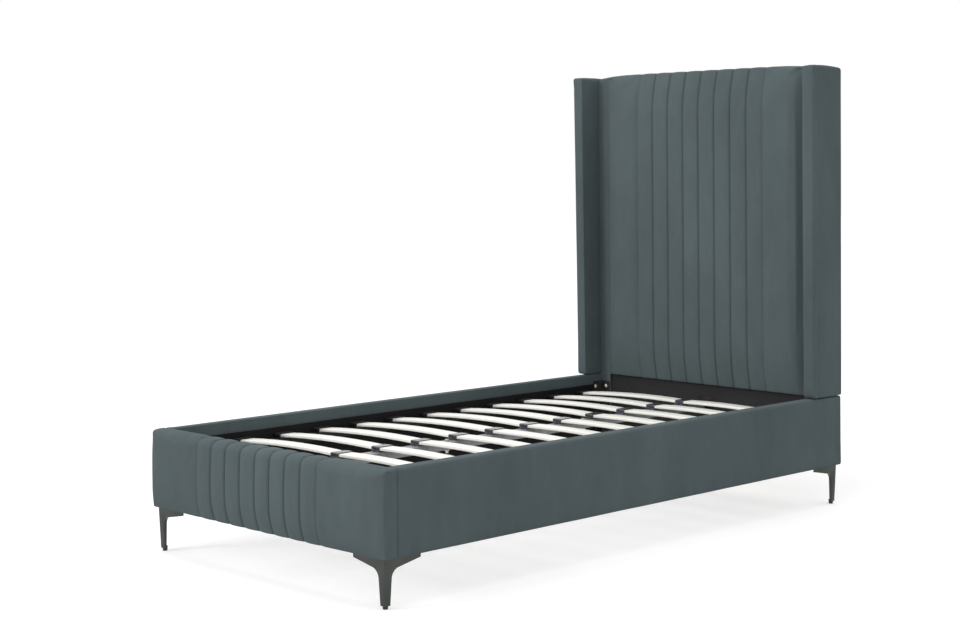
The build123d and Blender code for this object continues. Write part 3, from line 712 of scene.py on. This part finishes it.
# Footboard. A pine board under the same velvet and seams, over a thinner pad that bows outwards in the middle. It
# rolls over the top in a wide curve, turns in under the bottom edge and closes both ends with soft corners.
finished(["footboard_board"], cross_pine)
foot_low, foot_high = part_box("footboard_cover")
rail_lining_low, rail_lining_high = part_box("side_rail_lining_right")
foot_crown, end_round = 18 * mm, 8 * mm
foot_y = foot_low.y + foot_crown
skin, foot_ends_from = 4 * mm, 420 * mm
over_middle, over_lost, over_fade = 27 * mm, 15 * mm, 110 * mm
tuck_ends, tuck_middle, tuck_share = 3 * mm, 12 * mm, 0.36
toe_middle, toe_lost, toe_fade = 8 * mm, 4 * mm, 125 * mm
front_belly, inner_edge = 16 * mm, 3 * mm
sewn_left, drift_right, drift_left = 5 * mm, 0.064, -0.006
left_fullness, fuller_from, fuller_over = 5 * mm, 400 * mm, 145 * mm
furrow_beside, furrow_beside_width = 2.4 * mm, 2.2 * mm


def foot_loop(x, end=0.0):
    """The footboard cut across at x, with end as the rounding of its ends."""
    out, dip, inner = abs(x) / foot_high.x, channel_dip(x), foot_high.y
    front = foot_y - foot_crown * (1 - out ** 2.5) + dip + end + skin
    over = over_middle - over_lost * clamped((abs(x) - foot_ends_from) / over_fade) ** 2
    toe = toe_middle - toe_lost * max(0.0, (abs(x) - foot_ends_from) / toe_fade)
    tuck = tuck_ends + (tuck_middle - tuck_ends) * (1 - out ** 2)
    top, bottom = foot_high.z - 0.6 * dip - 0.7 * end, foot_low.z + 0.3 * end
    hidden = inner - (5 * mm if abs(x) < rail_low.x else 0.2 * mm)
    z_toe, z_brow, under, fold_z = bottom + toe, top - over, front + tuck + toe, rail_lining_high.z
    path = [(inner, bottom + 0.8 * mm), (inner - 0.8 * mm, bottom)] + run((inner, bottom), (under, bottom), 4)
    path += arc((under, z_toe), toe, 270, 180, 4)
    for share in [k / 17 for k in range(1, 17)]:
        turned_in = tuck * max(0.0, 1 - share / tuck_share) ** 2
        path.append((front + turned_in - front_belly * share * (1 - share), z_toe + (z_brow - z_toe) * share))
    path += arc((front + over, z_brow), over, 180, 90, 9)
    path += run((front + over, top), (inner - inner_edge, top), 3)
    path += arc((inner - inner_edge, top - inner_edge), inner_edge, 90, 0, 3)
    path += run((inner, top - inner_edge), (inner, fold_z), 4) + [(inner, fold_z), (hidden, fold_z - mm)]
    path += run((hidden, fold_z - mm), (hidden, bottom + 2 * mm), 12) + [(hidden, bottom + 2 * mm)]
    return [(x, y, z) for y, z in path]


def off_centre(p):
    """How far a point lies from the pattern: the panel was sewn a little to the left, and its left end fuller."""
    pull = sewn_left + (drift_right if p.x > 0 else drift_left) * p.x
    fuller = left_fullness * clamped((-p.x - fuller_from) / fuller_over) ** 2
    return Vector((-pull * max(0.0, 1 - (p.x / foot_high.x) ** 2) - fuller, -0.6 * fuller, 0))


def beside(y):
    """The furrow of the seam where a rail's cover meets the footboard's."""
    return furrow_beside * math.exp(-((y - foot_high.y) / furrow_beside_width) ** 2)


bend = foot_high.x - end_round
foot_loops = [foot_loop(x) for x in seam_columns(bend)]
for turn in (30, 60, 90):
    out, end = end_round * math.sin(math.radians(turn)), end_round * (1 - math.cos(math.radians(turn)))
    foot_loops.append(foot_loop(bend + out, end))
    foot_loops.insert(0, foot_loop(-bend - out, end))
foot = cover("footboard_velvet", foot_loops, velvet, (0.985, 0.96, 0.9, 0.7, 0.4))
stuffed(foot, lambda p: on_seam(p) or p.y > foot_high.y - 2 * mm or p.z < foot_low.z + mm, 2.5 * mm)
smoothed(foot)
pressed(foot, lambda p: (0, furrow(p.x) if p.y < foot_y + 12 * mm else 0,
                         -furrow(p.x) if p.z > foot_high.z - 6 * mm else 0))
pressed(foot, lambda p: (0, ripple(p, 11, 0.5 * mm, 8) if p.y < foot_y + 20 * mm else 0, 0))
pressed(foot, off_centre)
pressed(foot, lambda p: (-math.copysign(beside(p.y), p.x) if abs(p.x) > rail_low.x + 5 * mm else 0, 0,
                         -beside(p.y) if p.z > foot_high.z - 4 * mm and abs(p.x) > rail_low.x else 0))
declared(foot, "footboard_cover")
set_down("footboard_seam_stitches",
         seam_places(foot_loop, foot_y + 12 * mm, 42, lambda p: p + off_centre(p)),
         turned("stitch", stitch_outline, 6), thread)
lining_piece("footboard_lining", 1, 1, black_lining)


# Side rails. A pine board in thin foam and velvet on each side. The velvet turns over the top and a hand's breadth
# down inside, is stapled under the bottom edge and folded round the rear end; lining covers the rest inside.
long_pine = material("Long pine", wood, {"Stretch": (60.0, 3.0, 60.0)})
finished(["side_rail_board_left", "side_rail_board_right"], long_pine)
rail_inner_edge, rail_outer_edge, rail_under_edge, rear_fold = 3 * mm, 8 * mm, 7 * mm, 5 * mm
rail_rows = 130


def rail_loop(y, end, side):
    """A rail cut across at y, with end as the rounding of its rear end. side is 1 on the right, -1 on the left."""
    inner, outer, top, bottom = rail_low.x, rail_high.x - end, rail_high.z - end, rail_low.z + end
    a, b, c = rail_inner_edge, rail_outer_edge, rail_under_edge
    hidden, fold = inner + (4 * mm if y < panel_high.y - 5 * mm else 0.2 * mm), rail_lining_high.z
    path = run((hidden, fold), (inner, fold), 2) + [(inner, fold)] + run((inner, fold), (inner, top - a), 5)
    path += arc((inner + a, top - a), a, 180, 90, 3) + run((inner + a, top), (outer - b, top), 4)
    path += arc((outer - b, top - b), b, 90, 0, 5) + run((outer, top - b), (outer, bottom + c), 19)
    path += arc((outer - c, bottom + c), c, 0, -90, 4) + run((outer - c, bottom), (inner, bottom), 4)
    path += [(inner, bottom), (inner, bottom + 1.5 * mm), (hidden, bottom + 2 * mm)]
    path += run((hidden, bottom + 2 * mm), (hidden, fold), 14)
    return [(side * x, y, z) for x, z in path]


for side, word in ((1, "right"), (-1, "left")):
    start, straight = rail_low.y - 2.5 * mm, rail_high.y - rear_fold
    places = [start + d * mm for d in (0, 1.2, 2.4, 3.6, 5.0, 7.0, 10.0)]
    places += [start + (straight - start) * k / rail_rows for k in range(1, rail_rows + 1)]
    loops = [rail_loop(y, 0, side) for y in places]
    for turn in (30, 60, 90):
        out, end = rear_fold * math.sin(math.radians(turn)), rear_fold * (1 - math.cos(math.radians(turn)))
        loops.append(rail_loop(straight + out, end, side))
    rail = cover(f"side_rail_velvet_{word}", loops, velvet, (0.96, 0.88, 0.7, 0.4))
    stuffed(rail, lambda p: abs(p.x) < rail_low.x + mm or p.z < rail_low.z + mm
            or p.y < rail_low.y + 4 * mm or p.y > rail_high.y - mm, 1.2 * mm)
    smoothed(rail)
    pressed(rail, lambda p: (-side * beside(p.y) if abs(p.x) > rail_low.x + 5 * mm else 0, 0,
                             -beside(p.y) if p.z > rail_high.z - 6 * mm else 0))
    pressed(rail, lambda p: (side * ripple(p, 4, 0.14 * mm, 20 + side), 0, ripple(p, 6, 0.4 * mm, 4)))
    declared(rail, f"side_rail_cover_{word}")
lining_piece("side_rail_lining_right", 0, -1, black_lining)
lining_piece("side_rail_lining_left", 0, 1, black_lining)


# Corner brackets. Pressed steel angles, painted black, in the four inner corners, each held by two dome-headed
# machine bolts through either leg into the boards.
black_steel = material("Black steel", metal, {
    "Dark": (0.007, 0.007, 0.007, 1), "Light": (0.013, 0.013, 0.013, 1), "Smooth": 0.5, "Rough": 0.65,
    "Grain": 1400.0}, Specular_IOR_Level=0.25)
finished([f"corner_bracket_{end}_{side}" for end in ("front", "rear") for side in ("left", "right")], black_steel)
bracket_low, bracket_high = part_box("corner_bracket_front_right")
bracket_plate, bolt_from_end, bolt_on_rail, bolt_on_board = 3 * mm, 19 * mm, 35 * mm, 27.5 * mm


def dome_head(name, radius, height, socket):
    """A domed screw head with a flat rim and a drive socket."""
    rim = [(radius, -0.3 * mm), (radius, 0.18 * height)]
    dome_rings = [(radius * math.cos(t), height * (0.18 + 0.82 * math.sin(t))) for t in (0.25, 0.5, 0.8, 1.05)]
    recess = [(socket, height * 0.96), (socket * 0.96, height * 0.9), (socket * 0.9, height * 0.35)]
    return turned(name, rim + [ring for ring in dome_rings if ring[0] > socket] + recess, 24)


bolts = []
for side in (1, -1):
    for end_y, inwards in ((foot_high.y, 1), (border_y, -1)):
        for z in (bracket_high.z - bolt_from_end, bracket_low.z + bolt_from_end):
            bolts.append((Vector((side * (rail_low.x - bracket_plate), end_y + inwards * bolt_on_rail, z)),
                          Vector((-side, 0, 0))))
            bolts.append((Vector((side * (rail_low.x - bolt_on_board), end_y + inwards * bracket_plate, z)),
                          Vector((0, inwards, 0))))
set_down("bracket_bolt_heads", bolts, dome_head("bolt_head", 7.5 * mm, 4.5 * mm, 2.6 * mm), yellow_zinc)


# Ledger angles. A folded steel angle along each rail, painted black, that the slat holders stand on. Six
# wood screws hold each one.
finished(["ledger_angle_left", "ledger_angle_right"], black_steel)
angle_low, angle_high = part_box("ledger_angle_right")
angle_plate, screws_along, screw_from_end, screw_up = 2.5 * mm, 6, 60 * mm, 13 * mm
screw_size = (4.2 * mm, 2.2 * mm, 1.5 * mm)
screws = []
for side in (1, -1):
    for k in range(screws_along):
        y = angle_low.y + screw_from_end
        y += (angle_high.y - angle_low.y - 2 * screw_from_end) * k / (screws_along - 1)
        screw_place = (side * (angle_high.x - angle_plate), y, angle_low.z + screw_up)
        screws.append((Vector(screw_place), Vector((-side, 0, 0))))
set_down("board_screws", screws, dome_head("screw_head", *screw_size), black_steel)


# Centre beam. A square-cut steel tube, powder coated grey, that hangs in a black pressed saddle at each end. Four
# screws hold each saddle on the footboard or on the headboard's rail.
grey_steel = material("Grey steel", metal, {
    "Dark": (0.27, 0.28, 0.29, 1), "Light": (0.36, 0.37, 0.38, 1)}, Metallic=0.25)
finished(["centre_beam"], grey_steel)
finished(["beam_bracket_front", "beam_bracket_rear"], black_steel)
saddle_plate, saddle_screw_in = 2 * mm, 8 * mm
saddle_screws = []
for node, inwards in (("beam_bracket_front", 1), ("beam_bracket_rear", -1)):
    low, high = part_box(node)
    face = low.y + saddle_plate if inwards > 0 else high.y - saddle_plate
    for x in (low.x + saddle_screw_in, high.x - saddle_screw_in):
        for z in (low.z + saddle_screw_in, high.z - saddle_screw_in):
            saddle_screws.append((Vector((x, face, z)), Vector((0, inwards, 0))))
set_down("saddle_screws", saddle_screws, dome_head("saddle_screw", *screw_size), black_steel)


# Centre legs. A yellow zinc bolt through the beam with a nut under it, and a black steel tube that screws up and
# down on it by the plug in its top, with a moulded plastic foot.
black_plastic = material("Black plastic", metal, {
    "Dark": (0.010, 0.010, 0.011, 1), "Light": (0.018, 0.018, 0.019, 1), "Smooth": 0.38, "Rough": 0.5,
    "Grain": 2200.0, "Relief": 0.0001})
finished(["centre_leg_bolts", "centre_leg_nuts"], yellow_zinc)
finished(["centre_leg_tube_front", "centre_leg_tube_rear"], black_steel)
finished(["centre_leg_plug_front", "centre_leg_plug_rear"], black_plastic)
finished(["centre_leg_foot_front", "centre_leg_foot_rear"], black_plastic, 1.8 * mm, 3)


# Slats. Twelve rows of bowed half slats of laminated wood, lacquered pale. Their outer ends sit in black plastic
# pockets on the ledger angles, and their inner ends in glossy slate double pockets on the beam.
slat_wood = material("Slat wood", wood, {
    "Early": (0.90, 0.89, 0.84, 1), "Late": (0.80, 0.78, 0.72, 1), "Stretch": (4.0, 150.0, 40.0),
    "Contrast": 0.6, "Gloss": 0.42})
slate_plastic = material("Slate plastic", metal, {
    "Dark": (0.030, 0.032, 0.042, 1), "Light": (0.046, 0.047, 0.060, 1), "Smooth": 0.16, "Rough": 0.26,
    "Grain": 1500.0}, Coat_Weight=0.4)
finished(["slats_left", "slats_right"], slat_wood, 2.5 * mm, 3)
finished(["side_slat_holders_left", "side_slat_holders_right"], black_plastic, 1.2 * mm, 3)
finished(["centre_slat_holders"], slate_plastic, 1.4 * mm, 3)


# Corner legs. Cast metal with a dark polished plating, L-shaped in section, that flare out of a flat top plate and
# lean outwards to a small plastic glide. Four screws hold each plate under the boards.
gunmetal = material("Gunmetal", metal, {
    "Dark": (0.048, 0.0525, 0.0485, 1), "Light": (0.064, 0.070, 0.065, 1), "Mottle": 14.0, "Grain": 500.0,
    "Smooth": 0.18, "Rough": 0.26}, Metallic=1.0)
finished([f"corner_leg_{end}_{side}" for end in ("front", "rear") for side in ("left", "right")], gunmetal,
         0.9 * mm, 3)
finished(["leg_glides"], black_plastic, 0.8 * mm, 3)
leg_low, leg_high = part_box("corner_leg_front_right")
rear_leg_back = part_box("corner_leg_rear_right")[1].y
leg_plate = 3 * mm
leg_screws = []
for side in (1, -1):
    for corner_y, inwards in ((leg_low.y, 1), (rear_leg_back, -1)):
        for u, v in ((44, 20), (106, 20), (20, 44), (20, 106)):
            screw_place = (side * (leg_high.x - u * mm), corner_y + inwards * v * mm, leg_high.z - leg_plate)
            leg_screws.append((Vector(screw_place), Vector((0, 0, -1))))
set_down("leg_screw_heads", leg_screws, dome_head("leg_screw", *screw_size), yellow_zinc)


# Camera. It stands off the right-hand front corner at chest height, looks a little down on the slats and holds
# the headboard in the upper right of the picture.
heading, dip, tilt = math.radians(46.06), math.radians(-0.77), math.radians(-0.45)
ahead = Vector((-math.sin(heading) * math.cos(dip), math.cos(heading) * math.cos(dip), math.sin(dip)))
level = Vector((math.cos(heading), math.sin(heading), 0))
overhead = level.cross(ahead)
rightward = level * math.cos(tilt) + overhead * math.sin(tilt)
upward = overhead * math.cos(tilt) - level * math.sin(tilt)
camera_data = bpy.data.cameras.new("camera")
camera_data.lens = 65.88
camera_data.shift_x = 0.0031
camera_data.shift_y = -0.1336
camera_data.clip_end = 200
camera = bpy.data.objects.new("camera", camera_data)
camera.matrix_world = Matrix((rightward, upward, -ahead)).transposed().to_4x4()
camera.location = (4.0511, -4.0668, 1.1725)
scene.collection.objects.link(camera)
scene.camera = camera
scene.view_settings.view_transform = "Standard"


# Floor and surroundings. A pale floor that keeps the bed's shadow, in a white room. The camera, and metal and
# plastic that mirror, see both as white.
def looked_at(tree):
    """1 for the camera's own rays and for those that gloss and glass pass on, and otherwise 0."""
    rays = tree.nodes.new("ShaderNodeLightPath").outputs
    return combined(tree, "MAXIMUM", rays["Is Camera Ray"], rays["Is Transmission Ray"], rays["Is Glossy Ray"])


reach = 30
floor_mesh = bpy.data.meshes.new("floor")
floor_mesh.from_pydata([(-reach, -reach, 0), (reach, -reach, 0), (reach, reach, 0), (-reach, reach, 0)], [],
                       [(0, 1, 2, 3)])
floor = bpy.data.objects.new("floor", floor_mesh)
scene.collection.objects.link(floor)
pale = bpy.data.materials.new("Pale floor")
pale.use_nodes = True
tree = pale.node_tree
ground = tree.nodes["Principled BSDF"]
ground.inputs["Roughness"].default_value = 0.9
ground.inputs["Specular IOR Level"].default_value = 0.0
dust = noise_at(tree, tree.nodes.new("ShaderNodeTexCoord").outputs["Object"], 2.0, 2.0)
tree.links.new(ranged(tree, dust, 0.3, 0.7, 0.66, 0.67), ground.inputs["Base Color"])
glow, both = tree.nodes.new("ShaderNodeEmission"), tree.nodes.new("ShaderNodeAddShader")
tree.links.new(ranged(tree, looked_at(tree), 0.0, 1.0, 0.0, 0.44), glow.inputs["Strength"])
tree.links.new(ground.outputs[0], both.inputs[0])
tree.links.new(glow.outputs[0], both.inputs[1])
tree.links.new(both.outputs[0], tree.nodes["Material Output"].inputs["Surface"])
floor_mesh.materials.append(pale)

world = bpy.data.worlds.new("studio")
scene.world = world
world.use_nodes = True
tree = world.node_tree
tree.links.new(ranged(tree, looked_at(tree), 0.0, 1.0, 0.93, 1.0), tree.nodes["Background"].inputs["Strength"])
tree.nodes["Background"].inputs["Color"].default_value = (1, 1, 1, 1)


# Lamps. A large soft lamp ahead of the footboard on the left, and a weak one overhead.
for name, stand, target, size, power in (("front_lamp", (-3.8, -8.6, 4.0), (0, 0.2, 0.6), 2.2, 290),
                                         ("top_lamp", (0.0, -0.2, 5.0), (0, 0, 0.3), 3.0, 60)):
    data = bpy.data.lights.new(name, "AREA")
    data.size, data.energy = size, power
    lamp = bpy.data.objects.new(name, data)
    lamp.location = stand
    lamp.rotation_euler = (Vector(target) - Vector(stand)).to_track_quat("-Z", "Y").to_euler()
    scene.collection.objects.link(lamp)
